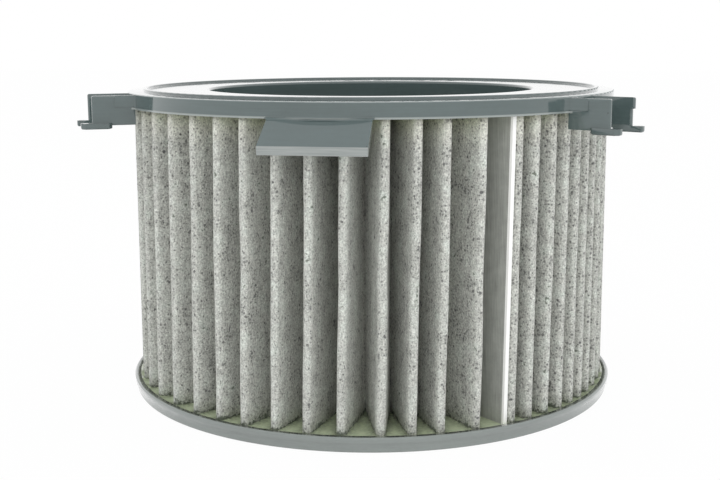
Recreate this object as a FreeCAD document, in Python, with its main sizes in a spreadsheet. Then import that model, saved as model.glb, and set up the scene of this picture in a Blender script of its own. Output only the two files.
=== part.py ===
"""A round cabin air filter: a ring of pleated media between a moulded top frame and a closed tray.

Air enters through the pleats and leaves through the opening in the top frame. Lengths are in
millimetres and angles in degrees. The origin is the middle of the tray's underside, +Z is up,
and the finger tab points towards -Y. Angles run from -Y towards +X.
"""

import FreeCAD
import Part
import Sketcher
import math
import operator
import os

SIZES = (
    ("overall_height", 117.7, "tray underside to the top of the sealing bead"),
    ("tray_gap", 1.6, "pleat tips to the inside of the tray wall"),
    ("tray_wall", 1.4, "thickness of the tray wall"),
    ("tray_floor", 1.6, "thickness of the tray floor"),
    ("lip_height", 5.55, "top of the tray wall"),
    ("lip_bulge", 0.8, "how far the lip stands out from the tray wall"),
    ("lip_band", 1.9, "height of the lip"),
    ("lip_slope", 0.5, "chamfer above and below the lip"),
    ("tray_round", 0.7, "rounding of the tray's lower edge"),
    ("channel_gap", 2.2, "inner folds of the pleats to the ring wall that bounds the potting"),
    ("channel_wall", 1.4, "thickness of that ring wall"),
    ("potting_depth", 3.0, "lower potting above the tray floor"),
    ("potting_bite", 2.0, "how deep the media stands in the lower potting"),
    ("pleat_count", 57, "pleats round the ring"),
    ("tip_radius", 92.2, "outside of the pleat tips"),
    ("pleat_depth", 25.4, "pleat tips to the bottom of the grooves between them"),
    ("media_thick", 1.6, "thickness of the media and outer radius of its folds"),
    ("first_pleat_angle", 42.85, "place of the first pleat after the seam"),
    ("seam_groove_angle", 9.3, "spacing of the two pleats beside the seam"),
    ("spacing_swing", 1.2, "how much tighter the pleats stand just after the seam"),
    ("slow_waver", 0.87, "slow unevenness of the pleats"),
    ("slow_waver_pleats", 18, "pleats in one slow wave"),
    ("slow_waver_start", 167.7, "phase of the slow wave at the first pleat"),
    ("quick_waver", 0.5, "quick unevenness of the pleats"),
    ("quick_waver_pleats", 6.27, "pleats in one quick wave"),
    ("quick_waver_start", 264.2, "phase of the quick wave at the first pleat"),
    ("flutter", 0.84, "unevenness of the last pleats before the seam"),
    ("flutter_pleats", 3, "pleats in one wave of that"),
    ("flutter_start", 27.3, "phase of that wave at the last pleat"),
    ("flutter_reach", 5, "pleats over which it dies away"),
    ("flap_thick", 1.2, "the two pressed ends of the media at the seam"),
    ("flap_gap", 0.85, "seam flap to the pleat beside it, at its outer end"),
    ("flap_extra", 0.4, "seam flap past the flank of the pleat beside it"),
    ("strip_cap", 0.55, "seam strip beyond the end of the flap"),
    ("strip_leg", 0.25, "thickness of the strip's legs beside the flap"),
    ("strip_grip", 0.5, "length of those legs"),
    ("frame_gap", 0.7, "pleat tips to the inside of the top frame's wall"),
    ("frame_wall", 1.8, "thickness of that wall"),
    ("frame_depth", 5.65, "height of that wall"),
    ("rim_reach", 0.3, "rim along the wall's lower edge, out from the wall"),
    ("rim_height", 0.45, "height of that rim below its sloping top"),
    ("frame_web", 2.0, "thickness of the top frame's flat ring"),
    ("ledge_drop", 1.1, "ledge outside the sealing bead, below its top"),
    ("bead_inset", 5.8, "sealing bead in from the outside of the top frame"),
    ("bead_width", 1.6, "width of the sealing bead"),
    ("bead_rise", 0.9, "sealing bead above the flat ring"),
    ("skirt_gap", 0.4, "inner folds of the pleats to the skirt round the outlet"),
    ("skirt_wall", 1.2, "thickness of that skirt"),
    ("skirt_depth", 8.0, "height of the skirt"),
    ("upper_potting_depth", 2.4, "upper potting below the flat ring"),
    ("mould_round", 0.5, "rounding of the top frame's outer edges"),
    ("outlet_round", 1.0, "rounding of the outlet's upper edge"),
    ("tab_width", 34.6, "finger tab at the wall, along the rim"),
    ("tab_reach", 10.9, "finger tab out from the frame wall"),
    ("tab_fall", 7.55, "fall of the tab's upper face"),
    ("tab_root", 2.4, "height of the tab at the wall, which grows towards its edge"),
    ("tab_edge", 3.05, "height of the tab's blunt edge"),
    ("tab_start", 0.4, "frame wall's lower edge to the tab's upper face"),
    ("tab_flare", 0.6, "how much wider each side of the tab is at its edge than at the wall"),
    ("bracket_angle", 61.2, "brackets to each side of the finger tab"),
    ("bracket_gap", 14.1, "clear width between a bracket's plates"),
    ("bracket_plate", 1.7, "thickness of a bracket plate"),
    ("bracket_reach", 14.7, "bracket plates out from the frame wall"),
    ("bracket_height", 10.7, "height of a bracket plate"),
    ("bracket_drop", 0.6, "ledge to the top of the bracket plates"),
    ("bracket_root", 0.9, "how deep the plates run into the frame wall"),
    ("boss_length", 6.6, "thicker part of a plate beside the frame wall"),
    ("boss_swell", 0.5, "how much thicker that part is"),
    ("boss_height", 4.1, "height of that part"),
    ("nib_reach", 0.9, "nib on the end of the right bracket's rear plate"),
    ("nib_height", 3.9, "height of that nib"),
    ("foot_start", 7.7, "frame wall to the start of a plate's foot"),
    ("foot_overhang", 4.1, "foot beyond the end of its plate"),
    ("foot_width", 1.7, "foot out from the plate's face"),
    ("foot_thick", 2.2, "thickness of a foot"),
    ("foot_drop", 1.3, "foot's underside below the plate"),
    ("foot_chamfer", 1.4, "cut corners of a foot"),
    ("foot_round", 0.7, "rounding of a foot's lower edges"),
    ("plate_round", 0.7, "rounding of the plates' upper edges and of the plates' and feet's ends"),
    ("tab_round", 0.4, "rounding of the tab's end"),
)

DERIVED = (
    ("root_radius", "=tip_radius - pleat_depth", "bottom of the grooves between the pleats"),
    ("fold_radius", "=root_radius - media_thick", "inside of the pleats' inner folds"),
    ("tray_radius", "=tip_radius + tray_gap + tray_wall", "outside of the tray wall"),
    ("channel_radius", "=fold_radius - channel_gap", "outside of the potting's ring wall"),
    ("frame_radius", "=tip_radius + frame_gap + frame_wall", "outside of the top frame's wall"),
    ("bead_radius", "=frame_radius - bead_inset", "outside of the sealing bead"),
    ("opening_radius", "=fold_radius - skirt_gap - skirt_wall", "air outlet in the top frame"),
)

OPERATIONS = {"+": operator.add, "-": operator.sub, "*": operator.mul, "/": operator.truediv}


class Size:
    """A number together with the spreadsheet formula that gives it."""

    def __init__(self, value, formula):
        self.value = value
        self.formula = formula

    def __add__(self, other):
        return combined(self, "+", other)

    def __sub__(self, other):
        return combined(self, "-", other)

    def __mul__(self, other):
        return combined(self, "*", other)

    def __truediv__(self, other):
        return combined(self, "/", other)

    def __neg__(self):
        return combined(0, "-", self)


def as_size(number):
    return number if isinstance(number, Size) else Size(number, str(number))


def combined(left, sign, right):
    left, right = as_size(left), as_size(right)
    value = OPERATIONS[sign](left.value, right.value)
    return Size(value, f"({left.formula} {sign} {right.formula})")


class Sheet:
    """The spreadsheet of driving dimensions, read as attributes."""

    def __init__(self, doc):
        cells = doc.addObject("Spreadsheet::Sheet", "Sizes")
        rows = SIZES + DERIVED
        for row, (alias, value, note) in enumerate(rows, start=1):
            cells.set(f"A{row}", alias)
            cells.set(f"B{row}", str(value))
            cells.setAlias(f"B{row}", alias)
            cells.set(f"C{row}", note)
        doc.recompute()
        self.values = {alias: cells.get(alias) for alias, value, note in rows}

    def __getattr__(self, alias):
        return Size(self.values[alias], f"Sizes.{alias}")


def origin_feature(body, role):
    return next(item for item in body.Origin.OriginFeatures if item.Role == role)


def hold(sketch, kind, edge, distance):
    """Fixes one coordinate of an edge's first point to a formula."""
    number = sketch.addConstraint(Sketcher.Constraint(kind, -1, 1, edge, 1, distance.value))
    sketch.setExpression(f"Constraints[{number}]", distance.formula)


def outline(body, name, plane, loops, height=None, turn=None, facing=None):
    """A sketch of closed loops whose corners are (across, up) pairs of sizes.

    height and turn lift the sketch off its plane and turn it about the plane's normal, and
    facing turns it about its own upright axis.
    """
    sketch = body.newObject("Sketcher::SketchObject", name)
    sketch.AttachmentSupport = [(origin_feature(body, plane), "")]
    sketch.MapMode = "FlatFace"
    if facing is not None:
        half_turn = FreeCAD.Rotation(FreeCAD.Vector(0, 1, 0), facing)
        sketch.AttachmentOffset = FreeCAD.Placement(FreeCAD.Vector(), half_turn)
    if height is not None:
        sketch.setExpression("AttachmentOffset.Base.z", height.formula)
    if turn is not None:
        sketch.setExpression("AttachmentOffset.Rotation.Angle", turn.formula)
    for corners in loops:
        first = sketch.GeometryCount
        points = [FreeCAD.Vector(as_size(x).value, as_size(y).value, 0) for x, y in corners]
        for start, end in zip(points, points[1:] + points[:1]):
            sketch.addGeometry(Part.LineSegment(start, end))
        for step, (across, up) in enumerate(corners):
            edge = first + step
            following = first + (step + 1) % len(corners)
            sketch.addConstraint(Sketcher.Constraint("Coincident", edge, 2, following, 1))
            hold(sketch, "DistanceX", edge, as_size(across))
            hold(sketch, "DistanceY", edge, as_size(up))
    return sketch


def revolved(body, name, sketch, kind="PartDesign::Revolution"):
    feature = body.newObject(kind, name)
    feature.Profile = sketch
    feature.ReferenceAxis = (sketch, ["V_Axis"])
    feature.Angle = 360
    return feature


def padded(body, name, sketch, length, side="One side"):
    pad = body.newObject("PartDesign::Pad", name)
    pad.Profile = sketch
    pad.SideType = side
    pad.setExpression("Length", length.formula)
    return pad


def rounded(body, name, base, radius, wanted):
    """Rounds the edges of base for which wanted(edge) is true."""
    names = [f"Edge{number}" for number, edge in enumerate(base.Shape.Edges, start=1) if wanted(edge)]
    fillet = body.newObject("PartDesign::Fillet", name)
    fillet.Base = (base, names)
    fillet.setExpression("Radius", radius.formula)
    return fillet


def circles(places):
    """Picks the full circles with the given (radius, height) pairs."""

    def wanted(edge):
        if not isinstance(edge.Curve, Part.Circle):
            return False
        place = (edge.Curve.Radius, edge.Curve.Center.z)
        return any(math.dist(place, (r.value, as_size(z).value)) < 0.01 for r, z in places)

    return wanted


def make_bottom_tray(doc, size):
    """A closed disc with a lipped outer wall and a lower ring wall that holds the potting."""
    body = doc.addObject("PartDesign::Body", "bottom_tray")
    inside = size.tray_radius - size.tray_wall
    lip_bottom = size.lip_height - size.lip_band
    lip = size.tray_radius + size.lip_bulge
    channel_inside = size.channel_radius - size.channel_wall
    rim_height = size.tray_floor + size.potting_depth
    corners = [
        (0, 0),
        (size.tray_radius, 0),
        (size.tray_radius, lip_bottom - size.lip_slope),
        (lip, lip_bottom),
        (lip, size.lip_height - size.lip_slope),
        (lip - size.lip_slope, size.lip_height),
        (inside, size.lip_height),
        (inside, size.tray_floor),
        (size.channel_radius, size.tray_floor),
        (size.channel_radius, rim_height),
        (channel_inside, rim_height),
        (channel_inside, size.tray_floor),
        (0, size.tray_floor),
    ]
    sketch = outline(body, "tray_profile", "XZ_Plane", [corners])
    turned = revolved(body, "tray_turned", sketch)
    doc.recompute()
    rounded(body, "tray_edge", turned, size.tray_round, circles([(size.tray_radius, 0)]))
    return body


def make_top_frame(doc, size):
    """The moulded ring with its sealing bead, skirt, finger tab and two brackets."""
    body = doc.addObject("PartDesign::Body", "top_frame")
    ledge = size.overall_height - size.ledge_drop
    face = size.overall_height - size.bead_rise
    wall_bottom = ledge - size.frame_depth
    skirt_bottom = face - size.skirt_depth
    skirt_outside = size.opening_radius + size.skirt_wall
    bead_inside = size.bead_radius - size.bead_width
    rim = size.frame_radius + size.rim_reach
    rim_top = wall_bottom + size.rim_height
    ring = [
        (size.opening_radius, skirt_bottom),
        (size.opening_radius, face),
        (bead_inside, face),
        (bead_inside, size.overall_height),
        (size.bead_radius, size.overall_height),
        (size.bead_radius, ledge),
        (size.frame_radius, ledge),
        (size.frame_radius, rim_top + size.rim_reach),
        (rim, rim_top),
        (rim, wall_bottom),
        (skirt_outside, wall_bottom),
        (skirt_outside, skirt_bottom),
    ]
    turned = revolved(body, "ring_turned", outline(body, "ring_profile", "XZ_Plane", [ring]))
    doc.recompute()
    outer_edges = [
        (size.frame_radius, ledge),
        (size.bead_radius, size.overall_height),
        (bead_inside, size.overall_height),
    ]
    edges = rounded(body, "ring_edges", turned, size.mould_round, circles(outer_edges))
    doc.recompute()
    outlet = circles([(size.opening_radius, face)])
    rounded(body, "outlet_edge", edges, size.outlet_round, outlet)
    add_finger_tab(body, size, wall_bottom)
    pair = add_brackets(body, size, ledge, wall_bottom)
    round_off(doc, body, size, pair, ledge - size.bracket_drop)
    cut_channel(body, size, face, skirt_outside)
    return body


def add_finger_tab(body, size, wall_bottom):
    """A plate that slopes down and out from the frame wall and ends in a blunt edge."""
    root = size.frame_radius - size.frame_wall
    tip = size.frame_radius + size.tab_reach
    upper = wall_bottom - size.tab_start
    lower = upper - size.tab_fall
    under_fall = size.tab_fall + size.tab_edge - size.tab_root
    side = [
        (root, upper - size.tab_root + under_fall * size.frame_wall / size.tab_reach),
        (tip, lower - size.tab_edge),
        (tip, lower),
        (size.frame_radius, upper),
        (size.frame_radius, wall_bottom + size.rim_height),
        (root, wall_bottom + size.rim_height),
    ]
    sketch = outline(body, "tab_profile", "YZ_Plane", [side], facing=180)
    padded(body, "finger_tab", sketch, size.tab_width + size.tab_flare * 2, side="Symmetric")
    aside = size.tab_width / 2
    waste = [
        (root, aside),
        (tip, aside + size.tab_flare),
        (tip, aside + size.tab_flare * 2),
        (root, aside + size.tab_flare * 2),
    ]
    flank = outline(body, "tab_flare_plan", "XY_Plane", twin(waste), wall_bottom, as_size(-90))
    pocket = body.newObject("PartDesign::Pocket", "tab_flare")
    pocket.Profile = flank
    pocket.setExpression("Length", (size.tab_start + size.tab_fall * 3).formula)


def twin(corners):
    """A loop and its mirror image in the line across = 0."""
    return [corners, [(along, -aside) for along, aside in reversed(corners)]]


def add_brackets(body, size, ledge, wall_bottom):
    """Two brackets, each a pair of plates with feet, mirrored about the finger tab's plane."""
    turn = size.bracket_angle - 90
    inner = size.bracket_gap / 2
    outer = inner + size.bracket_plate
    root = size.frame_radius - size.bracket_root
    tip = size.frame_radius + size.bracket_reach
    plate_top = ledge - size.bracket_drop
    plate_bottom = plate_top - size.bracket_height
    boss_end = size.frame_radius + size.boss_length
    foot_bottom = plate_bottom - size.foot_drop
    foot_start = size.frame_radius + size.foot_start
    foot_end = tip + size.foot_overhang
    foot_side = outer + size.foot_width
    cut = size.foot_chamfer

    def block(name, near, far, high_side, bottom, height, loops=twin):
        corners = [(near, inner), (far, inner), (far, high_side), (near, high_side)]
        sketch = outline(body, f"{name}_plan", "XY_Plane", loops(corners), bottom, turn)
        return padded(body, name, sketch, height)

    plates = block("plates", root, tip, outer, plate_bottom, size.bracket_height)
    boss = block("bosses", root, boss_end, outer + size.boss_swell,
                 plate_top - size.boss_height, size.boss_height)
    foot = [
        (foot_start, inner),
        (foot_end, inner),
        (foot_end, foot_side - cut),
        (foot_end - cut, foot_side),
        (foot_start + cut, foot_side),
        (foot_start, foot_side - cut),
    ]
    sketch = outline(body, "feet_plan", "XY_Plane", twin(foot), foot_bottom, turn)
    feet = padded(body, "feet", sketch, size.foot_thick)
    pair = body.newObject("PartDesign::Mirrored", "bracket_pair")
    pair.Originals = [plates, boss, feet]
    pair.MirrorPlane = (origin_feature(body, "YZ_Plane"), [""])
    body.Tip = pair
    return block("nib", tip - size.bracket_plate, tip + size.nib_reach, outer,
                 plate_top - size.nib_height, size.nib_height, loops=lambda corners: [corners])


def round_off(doc, body, size, brackets, plate_top):
    """Rounds the free edges of the bracket plates and their feet, and the end of the finger tab."""
    boss_end = size.frame_radius + size.boss_length
    plate_end = size.frame_radius + size.bracket_reach
    tab_end = size.frame_radius + size.tab_reach
    foot_bottom = plate_top - size.bracket_height - size.foot_drop
    inside = size.bracket_gap / 2

    def on_plate(edge):
        ends = [vertex.Point for vertex in edge.Vertexes]
        if len(ends) < 2 or not isinstance(edge.Curve, Part.Line):
            return False
        low, high = sorted(end.z for end in ends)
        reach = min(math.hypot(end.x, end.y) for end in ends)
        on_top = low > plate_top.value - 0.01 and reach > boss_end.value - 0.1
        upright = high - low > size.foot_thick.value - 0.01 and reach > plate_end.value
        return on_top or upright

    def on_foot(edge):
        if any(abs(vertex.Point.z - foot_bottom.value) > 0.01 for vertex in edge.Vertexes):
            return False
        turn = math.radians(size.bracket_angle.value)
        middle = edge.CenterOfMass
        return abs(abs(middle.x) * math.cos(turn) + middle.y * math.sin(turn)) > inside.value + 0.1

    def on_tab_end(edge):
        return all(abs(vertex.Point.y + tab_end.value) < 0.01 for vertex in edge.Vertexes)

    body.Tip = brackets
    doc.recompute()
    plates = rounded(body, "plate_edges", brackets, size.plate_round, on_plate)
    doc.recompute()
    feet = rounded(body, "foot_edges", plates, size.foot_round, on_foot)
    doc.recompute()
    rounded(body, "tab_edges", feet, size.tab_round, on_tab_end)


def cut_channel(body, size, face, skirt_outside):
    """Opens the channel under the flat ring, which leaves the wall and the skirt."""
    wall_inside = size.frame_radius - size.frame_wall
    ceiling = face - size.frame_web
    floor = ceiling - size.frame_depth - size.skirt_depth
    corners = [
        (skirt_outside, floor),
        (wall_inside, floor),
        (wall_inside, ceiling),
        (skirt_outside, ceiling),
    ]
    sketch = outline(body, "channel_profile", "XZ_Plane", [corners])
    revolved(body, "channel", sketch, "PartDesign::Groove")


def polar(radius, angle):
    """A point at an angle from -Y towards +X."""
    turn = math.radians(angle)
    return FreeCAD.Vector(radius * math.sin(turn), -radius * math.cos(turn), 0)


def pleat_angle(values, number):
    """Where a pleat stands.

    The spacing tightens after the seam, two slow waves run round the ring, and a flutter grows
    towards the seam.
    """
    steps = values["pleat_count"] - 1
    spacing = (360 - values["seam_groove_angle"]) / steps
    swing = values["spacing_swing"] * steps / math.pi * math.sin(math.pi * number / steps)
    angle = values["first_pleat_angle"] + spacing * number - swing
    for wave in ("slow", "quick"):
        share = number / values[f"{wave}_waver_pleats"]
        phase = math.radians(values[f"{wave}_waver_start"]) + 2 * math.pi * share
        angle += values[f"{wave}_waver"] * math.sin(phase)
    left = steps - number
    phase = math.radians(values["flutter_start"]) + 2 * math.pi * left / values["flutter_pleats"]
    return angle + values["flutter"] * math.exp(-left / values["flutter_reach"]) * math.cos(phase)


class Flank:
    """One flat side of a pleat, from the groove's bottom to the rounded tip."""

    def __init__(self, tip_centre, groove, thick, side):
        reach = tip_centre.sub(groove)
        lean = thick / reach.Length
        along = FreeCAD.Vector(reach).normalize()
        across = FreeCAD.Vector(-along.y, along.x, 0) * side
        self.facing = across * math.sqrt(1 - lean * lean) - along * lean
        self.groove = groove
        self.tip = tip_centre + self.facing * thick
        self.fold = groove - self.facing * thick


def pleat_folds(values):
    """Tip centres, groove bottoms and flanks of every pleat, in order round the ring."""
    count = int(values["pleat_count"])
    thick = values["media_thick"]
    angles = [pleat_angle(values, number) for number in range(count)]
    middles = [(a + b) / 2 for a, b in zip(angles, angles[1:] + [angles[0] + 360])]
    tips = [polar(values["tip_radius"] - thick, angle) for angle in angles]
    grooves = [polar(values["root_radius"], angle) for angle in middles]
    before = [Flank(tips[i], grooves[i - 1], thick, -1) for i in range(count)]
    after = [Flank(tips[i], grooves[i], thick, 1) for i in range(count)]
    return angles, middles, tips, grooves, before, after


def closed_wire(points_and_arcs):
    """A wire from a list of runs, each a straight (start, end) or an arc (start, middle, end)."""
    edges = []
    for run in points_and_arcs:
        if len(run) == 2:
            edges.append(Part.LineSegment(*run).toShape())
        else:
            edges.append(Part.Arc(*run).toShape())
    return Part.Wire(edges)


def pleated_ring(values):
    """The media's cross section: rounded tips outside, rounded folds inside."""
    thick = values["media_thick"]
    angles, middles, tips, grooves, before, after = pleat_folds(values)
    outside = []
    inside = []
    for i, angle in enumerate(angles):
        following = (i + 1) % len(angles)
        crown = polar(values["tip_radius"], angle)
        fold = polar(values["fold_radius"], middles[i])
        outside.append((before[i].tip, crown, after[i].tip))
        outside.append((after[i].tip, grooves[i]))
        outside.append((grooves[i], before[following].tip))
        inside.append((tips[i], after[i].fold))
        inside.append((after[i].fold, fold, before[following].fold))
        inside.append((before[following].fold, tips[following]))
    return Part.makeFace([closed_wire(outside), closed_wire(inside)], "Part::FaceMakerBullseye")


def meeting_point(start, along, other, direction):
    """Where two lines in the plan meet."""
    gap = other.sub(start)
    share = gap.cross(direction).z / along.cross(direction).z
    return start + along * share


def seam_flap(values):
    """The media's two pressed ends, standing in the seam groove beside the first pleat.

    Returns the corners of the flap and the middle, direction and side of its outer end.
    """
    before, after = pleat_folds(values)[4:]
    beside, opposite = before[0], after[-1]
    flank = beside.tip.sub(beside.groove)
    length = flank.Length + values["flap_extra"]
    near = beside.groove + flank.normalize() * length + beside.facing * values["flap_gap"]
    along = near.sub(beside.groove).normalize()
    aside = FreeCAD.Vector(along.y, -along.x, 0)
    far = near + aside * values["flap_thick"]
    wall = opposite.tip.sub(opposite.groove)
    heel = meeting_point(far, along, opposite.groove, wall)
    into_fold = polar(values["media_thick"] / 2, pleat_angle(values, 0))
    into_wall = opposite.facing * (values["media_thick"] / 2)
    corners = [beside.groove - into_fold, near, far, heel, heel - into_wall]
    return corners, (near + far) * 0.5, along, aside


def prism(corners, bottom, height):
    """An upright solid on a plan of straight sides."""
    wire = Part.makePolygon(corners + corners[:1])
    solid = Part.Face(wire).extrude(FreeCAD.Vector(0, 0, height))
    solid.translate(FreeCAD.Vector(0, 0, bottom))
    return solid


def media_span(values):
    """The media's lower end and its height, up to the upper potting."""
    bottom = values["tray_floor"] + values["potting_depth"] - values["potting_bite"]
    ceiling = values["overall_height"] - values["bead_rise"] - values["frame_web"]
    return bottom, ceiling - values["upper_potting_depth"] - bottom


def make_pleated_media(doc, values):
    bottom, height = media_span(values)
    ring = pleated_ring(values).extrude(FreeCAD.Vector(0, 0, height))
    ring.translate(FreeCAD.Vector(0, 0, bottom))
    flap = prism(seam_flap(values)[0], bottom, height)
    media = doc.addObject("Part::Feature", "pleated_media")
    media.Shape = ring.fuse(flap)
    return media


def make_seam_strip(doc, values, media):
    """A narrow clip over the outer end of the seam flap, slotted where it grips the flap."""
    bottom, height = media_span(values)
    end, along, aside = seam_flap(values)[1:]
    half = aside * (values["flap_thick"] / 2 + values["strip_leg"])
    inner = end - along * values["strip_grip"]
    outer = end + along * values["strip_cap"]
    blank = doc.addObject("Part::Feature", "strip_blank")
    blank.Shape = prism([inner - half, outer - half, outer + half, inner + half], bottom, height)
    return cut(doc, "seam_strip", blank, media)


def cylinder(doc, name, radius, bottom, height):
    solid = doc.addObject("Part::Cylinder", name)
    solid.setExpression("Radius", radius.formula)
    solid.setExpression("Height", height.formula)
    solid.setExpression("Placement.Base.z", bottom.formula)
    return solid


def cut(doc, name, base, tool):
    result = doc.addObject("Part::Cut", name)
    result.Base = base
    result.Tool = tool
    return result


def ring_of(doc, name, outside, inside, bottom, height):
    """A flat ring between two radii."""
    disc = cylinder(doc, f"{name}_disc", outside, bottom, height)
    hole = cylinder(doc, f"{name}_hole", inside, bottom, height)
    return cut(doc, name, disc, hole)


def make_lower_potting(doc, size, media, strip):
    """The cast ring that fills the tray's channel round the feet of the pleats."""
    fill = ring_of(doc, "lower_fill", size.tray_radius - size.tray_wall, size.channel_radius,
                   size.tray_floor, size.potting_depth)
    round_media = cut(doc, "lower_fill_round_media", fill, media)
    return cut(doc, "lower_potting", round_media, strip)


def make_upper_potting(doc, size):
    """The cast ring that bonds the pleats under the top frame's flat ring."""
    ceiling = size.overall_height - size.bead_rise - size.frame_web
    return ring_of(doc, "upper_potting", size.frame_radius - size.frame_wall,
                   size.opening_radius + size.skirt_wall, ceiling - size.upper_potting_depth,
                   size.upper_potting_depth)


def check(doc, parts):
    """Stops on a failed object, or on a part that isn't one valid solid."""
    for item in doc.Objects:
        if "Invalid" in item.State or "Error" in item.State:
            raise RuntimeError(f"{item.Label} failed: {item.State}")
    for part in parts:
        shape = part.Shape
        if shape.isNull() or not shape.isValid():
            raise RuntimeError(f"{part.Label} has no valid shape")
        print(part.Label, len(shape.Solids), "solid,", round(shape.Volume), "cubic millimetres")


def main():
    os.makedirs("parts", exist_ok=True)
    doc = FreeCAD.newDocument("cabin_air_filter")
    size = Sheet(doc)
    media = make_pleated_media(doc, size.values)
    strip = make_seam_strip(doc, size.values, media)
    parts = [
        make_bottom_tray(doc, size),
        make_top_frame(doc, size),
        media,
        strip,
        make_lower_potting(doc, size, media, strip),
        make_upper_potting(doc, size),
    ]
    doc.recompute()
    check(doc, parts)
    for part in parts:
        part.Shape.exportStep(os.path.join("parts", f"{part.Label}.step"))


main()
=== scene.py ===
"""Dresses a round cabin air filter: pleated felt, cast potting and moulded plastic.

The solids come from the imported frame. The pleats, the potting and the plastic mouldings get their
finished shapes and materials here. Lengths are in metres, and the filter stands on z = 0 with its
finger tab towards -Y. Angles round the filter run from -Y towards +X.
"""

import math
from types import SimpleNamespace

import bmesh
import bpy
import numpy as np
from mathutils import Matrix, Vector


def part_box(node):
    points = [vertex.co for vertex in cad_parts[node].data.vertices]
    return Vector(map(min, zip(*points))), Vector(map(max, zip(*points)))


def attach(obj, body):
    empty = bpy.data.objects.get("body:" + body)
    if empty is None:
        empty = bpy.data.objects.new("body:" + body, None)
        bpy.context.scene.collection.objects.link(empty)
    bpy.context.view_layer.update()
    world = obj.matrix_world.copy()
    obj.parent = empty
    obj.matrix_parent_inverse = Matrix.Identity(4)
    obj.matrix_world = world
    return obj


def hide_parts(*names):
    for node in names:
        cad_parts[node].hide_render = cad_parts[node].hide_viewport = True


bl_info = {
    "name": "Round Cabin Air Filter",
    "version": (1, 0, 0),
    "blender": (4, 5, 0),
    "location": "3D View > Sidebar > Air Filter",
    "description": "Makes the pleats, potting, mouldings and studio of a round cabin air filter",
    "category": "Object",
}

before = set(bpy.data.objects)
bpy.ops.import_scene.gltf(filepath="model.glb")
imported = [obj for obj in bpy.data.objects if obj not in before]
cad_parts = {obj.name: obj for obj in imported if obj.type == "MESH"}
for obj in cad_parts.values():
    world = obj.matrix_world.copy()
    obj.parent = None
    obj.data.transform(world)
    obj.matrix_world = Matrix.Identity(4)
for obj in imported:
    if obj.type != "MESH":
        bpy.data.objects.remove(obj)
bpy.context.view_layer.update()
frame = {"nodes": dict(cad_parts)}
MM = 0.001


def linear(red, green, blue):
    """A colour as it is seen on a screen, 0 to 255, as the linear values that materials take."""
    shares = [channel / 255 for channel in (red, green, blue)]
    return tuple(
        share / 12.92 if share <= 0.04045 else ((share + 0.055) / 1.055) ** 2.4
        for share in shares
    )


# Properties


def length(name, description, millimetres):
    return bpy.props.FloatProperty(
        name=name, description=description, default=millimetres * MM, subtype="DISTANCE",
        unit="LENGTH", precision=4,
    )


def angle(name, description, degrees):
    return bpy.props.FloatProperty(
        name=name, description=description, default=math.radians(degrees), subtype="ANGLE",
        unit="ROTATION",
    )


def amount(name, description, default, low=0.0, high=1.0):
    return bpy.props.FloatProperty(
        name=name, description=description, default=default, min=low, max=high
    )


def count(name, description, default, low, high):
    return bpy.props.IntProperty(
        name=name, description=description, default=default, min=low, max=high
    )


def power(name, description, watts):
    return bpy.props.FloatProperty(
        name=name, description=description, default=watts, min=0, unit="POWER"
    )


def colour(name, description, default):
    return bpy.props.FloatVectorProperty(
        name=name, description=description, default=default, subtype="COLOR", size=3, min=0, max=1
    )


class PleatSettings(bpy.types.PropertyGroup):
    """Sizes of the folded sheet of media."""

    pleats: count("Pleats", "Pleats round the ring", 57, 8, 200)
    foot_radius: length("Tip Radius at the Tray", "Pleat tips at their lower end", 92.8)
    head_radius: length("Tip Radius at the Frame", "Pleat tips at their upper end", 92.3)
    groove_radius: length("Groove Radius", "Bottom of the grooves between pleats", 66.8)
    thickness: length("Media Thickness", "Thickness of the felt", 1.6)
    bottom: length("Lower End", "Height of the media's lower end", 2.6)
    top: length("Upper End", "Height of the media's upper end", 112.4)
    first_pleat: angle("First Pleat", "Place of the first pleat after the seam", 42.85)
    seam_groove: angle("Seam Groove", "Spacing of the two pleats beside the seam", 9.3)
    swing: angle("Spacing Swing", "How much tighter the pleats stand just after the seam", 1.2)
    slow_waver: angle("Slow Waver", "Slow unevenness of the pleats", 0.87)
    slow_pleats: amount("Slow Wave", "Pleats in one slow wave", 18, 1, 100)
    slow_start: angle("Slow Start", "Phase of the slow wave at the first pleat", 167.7)
    quick_waver: angle("Quick Waver", "Quick unevenness of the pleats", 0.5)
    quick_pleats: amount("Quick Wave", "Pleats in one quick wave", 6.27, 1, 100)
    quick_start: angle("Quick Start", "Phase of the quick wave at the first pleat", 264.2)
    flutter: angle("Flutter", "Unevenness of the last pleats before the seam", 0.84)
    flutter_pleats: amount("Flutter Wave", "Pleats in one wave of the flutter", 3, 1, 100)
    flutter_start: angle("Flutter Start", "Phase of the flutter at the last pleat", 27.3)
    flutter_reach: amount("Flutter Reach", "Pleats over which the flutter dies away", 5, 1, 100)
    twist: angle("Twist", "Turn of the tips' upper ends against their lower ends", 1.1)
    ripple: angle("Ripple", "How far a tip wanders sideways along its height", 0.3)
    rows: count("Rows", "Points along the height of a pleat", 15, 2, 60)
    flap_thickness: length("Flap Thickness", "The two pressed ends of the media", 1.2)
    flap_gap: length("Flap Gap", "Seam flap to the pleat beside it, at its outer end", 0.85)
    flap_extra: length("Flap Extra", "Seam flap past the flank of the pleat beside it", 0.4)


class FilterColours(bpy.types.PropertyGroup):
    """Colours of the filter's materials."""

    felt: colour("Felt", "Fibres of the media's upstream face", linear(243, 244, 235))
    felt_back: colour("Felt Back", "Downstream face of the media", linear(178, 180, 173))
    carbon: colour("Carbon", "Specks of carbon in the felt", linear(62, 62, 64))
    frame: colour("Frame", "Moulded plastic of the top frame", linear(84, 98, 97))
    tray: colour("Tray", "Moulded plastic of the tray", linear(133, 140, 136))
    potting: colour("Potting", "Cast ring in which the pleats stand", linear(234, 247, 208))
    strip: colour("Strip", "Clip over the seam", linear(252, 252, 248))


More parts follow.
